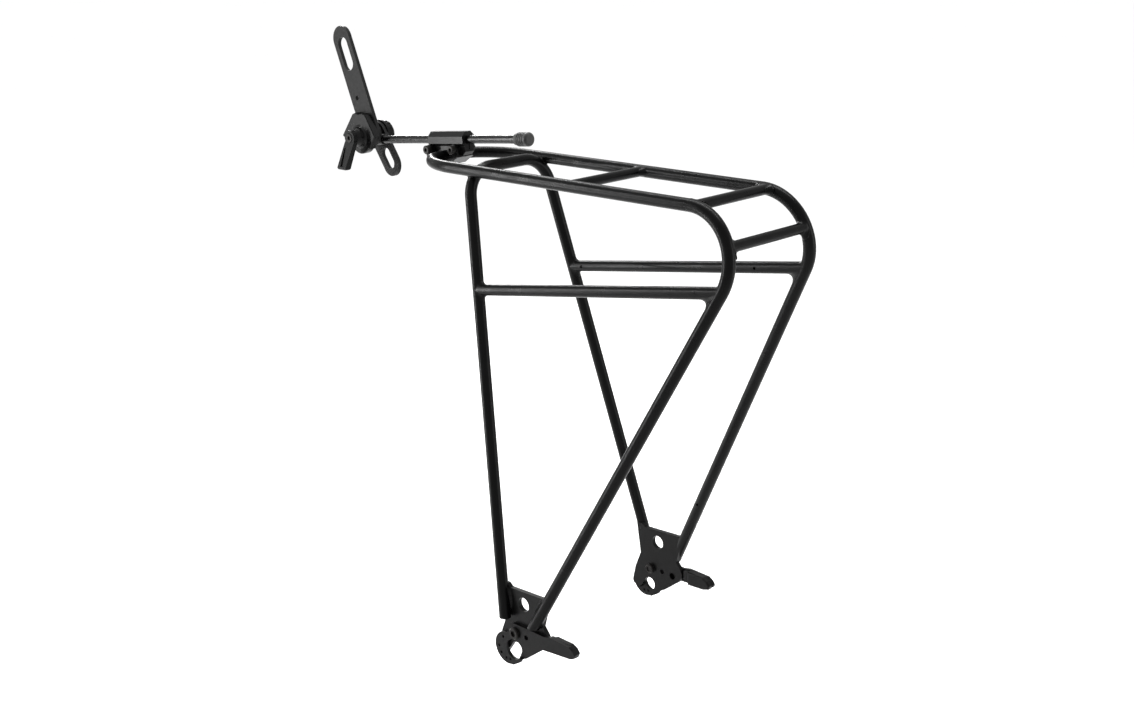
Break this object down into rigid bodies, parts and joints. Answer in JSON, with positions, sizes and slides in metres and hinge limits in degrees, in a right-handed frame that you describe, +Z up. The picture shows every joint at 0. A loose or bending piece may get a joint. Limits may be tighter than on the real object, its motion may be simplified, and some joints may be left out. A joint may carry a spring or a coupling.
{
  "type": "bicycle rear pannier rack",
  "caption": "Tubular bicycle luggage carrier with hook feet that lock on the axle and an adjustable sliding, swinging stay to the seat stays.",
  "frame": {"origin": "middle of the rear axle line that both foot hooks close on", "axes": "+X to the back of the rack, +Y to the bicycle's right, +Z up; the load deck is level"},
  "size_m": [0.5083, 0.1938, 0.5167],
  "materials": {
    "frame_paint": "satin black powder coat",
    "plate_paint": "satin black powder coat",
    "lever_black": "satin black",
    "grip_plastic": "fine moulded grain",
    "bolt_black": "black oxide",
    "clamp_black": "satin black anodised",
    "rod_black": "smooth black",
    "cap_rubber": "matte rubber",
    "arm_black": "matte black",
    "knob_plastic": "moulded grain"
  },
  "bodies": {
    "frame": {"main_loop_tube": "frame_paint", "front_hoop_tube": "frame_paint", "cross_bar_middle": "frame_paint", "cross_bar_rear": "frame_paint", "cross_bar_bend": "frame_paint", "left_lower_rail": "frame_paint", "right_lower_rail": "frame_paint", "left_foot_plate": "plate_paint", "right_foot_plate": "plate_paint", "left_pivot_bolt": "bolt_black", "right_pivot_bolt": "bolt_black", "left_pivot_nut": "bolt_black", "right_pivot_nut": "bolt_black"},
    "left_lock": {"left_lock_lever": "lever_black", "left_lever_grip": "grip_plastic"},
    "right_lock": {"right_lock_lever": "lever_black", "right_lever_grip": "grip_plastic"},
    "rod_clamp": {"rod_clamp_block": "clamp_black", "rod_clamp_jaw": "clamp_black", "rod_clamp_screws": "bolt_black", "rod_clamp_nuts": "bolt_black"},
    "rod": {"stay_rod": "rod_black", "rod_end_cap": "cap_rubber"},
    "head": {"stay_eye": "clamp_black", "stay_jaw": "clamp_black", "clamp_drum": "clamp_black", "hub_screw": "bolt_black", "hub_knob": "knob_plastic"},
    "long_arm": {"long_stay_arm": "arm_black"},
    "short_arm": {"short_stay_arm": "arm_black"},
    "hand_lever": {"clamp_hand_lever": "knob_plastic"}
  },
  "joints": [
    {"name": "left_lock_pivot", "type": "hinge", "parent": "frame", "child": "left_lock", "pos_m": [0.0017, -0.0845, 0.0162], "axis": [0, 1, 0], "range_deg": [0, 40]},
    {"name": "right_lock_pivot", "type": "hinge", "parent": "frame", "child": "right_lock", "pos_m": [0.0017, 0.0845, 0.0162], "axis": [0, 1, 0], "range_deg": [0, 40]},
    {"name": "clamp_tilt", "type": "hinge", "parent": "frame", "child": "rod_clamp", "pos_m": [-0.1602, 0, 0.3933], "axis": [0, 1, 0], "range_deg": [-45, 7]},
    {"name": "rod_slide", "type": "slide", "parent": "rod_clamp", "child": "rod", "axis": [0.996, 0, 0.0898], "range_m": [-0.055, 0.03]},
    {"name": "rod_turn", "type": "hinge", "parent": "rod", "child": "head", "pos_m": [-0.25665, 0, 0.39846], "axis": [0.996, 0, 0.0898], "range_deg": [-45, 45]},
    {"name": "long_arm_swing", "type": "hinge", "parent": "head", "child": "long_arm", "pos_m": [-0.26999, 0, 0.40168], "axis": [0, 1, 0], "range_deg": [-60, 70]},
    {"name": "short_arm_swing", "type": "hinge", "parent": "head", "child": "short_arm", "pos_m": [-0.26999, 0, 0.40168], "axis": [0, 1, 0], "range_deg": [-25, 80]},
    {"name": "hand_lever_turn", "type": "hinge", "parent": "head", "child": "hand_lever", "pos_m": [-0.26999, 0, 0.40168], "axis": [0, 1, 0], "range_deg": [-120, 120]}
  ]
}
